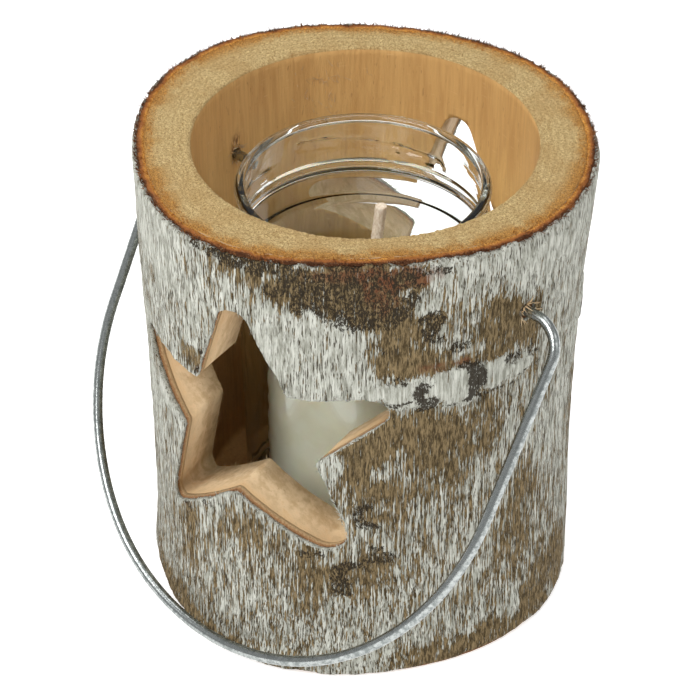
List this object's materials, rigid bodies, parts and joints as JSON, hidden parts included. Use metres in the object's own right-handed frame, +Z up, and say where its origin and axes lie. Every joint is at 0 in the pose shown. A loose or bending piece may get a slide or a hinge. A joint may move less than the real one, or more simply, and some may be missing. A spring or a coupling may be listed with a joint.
{
  "type": "hanging lantern",
  "caption": "Hanging candle lantern: a hollowed birch log with a star cut through its walls and a wire bail, holding a glass jar with a pillar candle.",
  "frame": {"origin": "centre of the log's underside", "axes": "+Z up along the log's bore; +X along the axis that the bail swings about; the star faces -Y"},
  "size_m": [0.1492, 0.1326, 0.14],
  "materials": {
    "birch_wood": "sawn, unfinished",
    "inner_bark": "matte, fibrous",
    "outer_bark": "whitewashed, matte",
    "galvanised_wire": "galvanised",
    "clear_glass": "clear",
    "ivory_wax": "satin wax",
    "waxed_wick": "waxed braid",
    "tinplate": "bright tinplate"
  },
  "bodies": {
    "log": {"wood_body": "birch_wood", "inner_bark": "inner_bark", "outer_bark": "outer_bark"},
    "bail": {"bail_wire": "galvanised_wire"},
    "jar": {"glass_jar": "clear_glass"},
    "candle": {"candle_wax": "ivory_wax", "candle_wick": "waxed_wick", "wick_sustainer": "tinplate"}
  },
  "joints": [
    {"name": "bail_swing", "type": "hinge", "parent": "log", "child": "bail", "pos_m": [0, -0.0037, 0.1155], "axis": [-1, 0, 0], "range_deg": [0, 297]},
    {"name": "jar_lift", "type": "slide", "parent": "log", "child": "jar", "axis": [0, 0, 1], "range_m": [0, 0.14]},
    {"name": "candle_lift", "type": "slide", "parent": "jar", "child": "candle", "axis": [0, 0, 1], "range_m": [0, 0.12]}
  ]
}
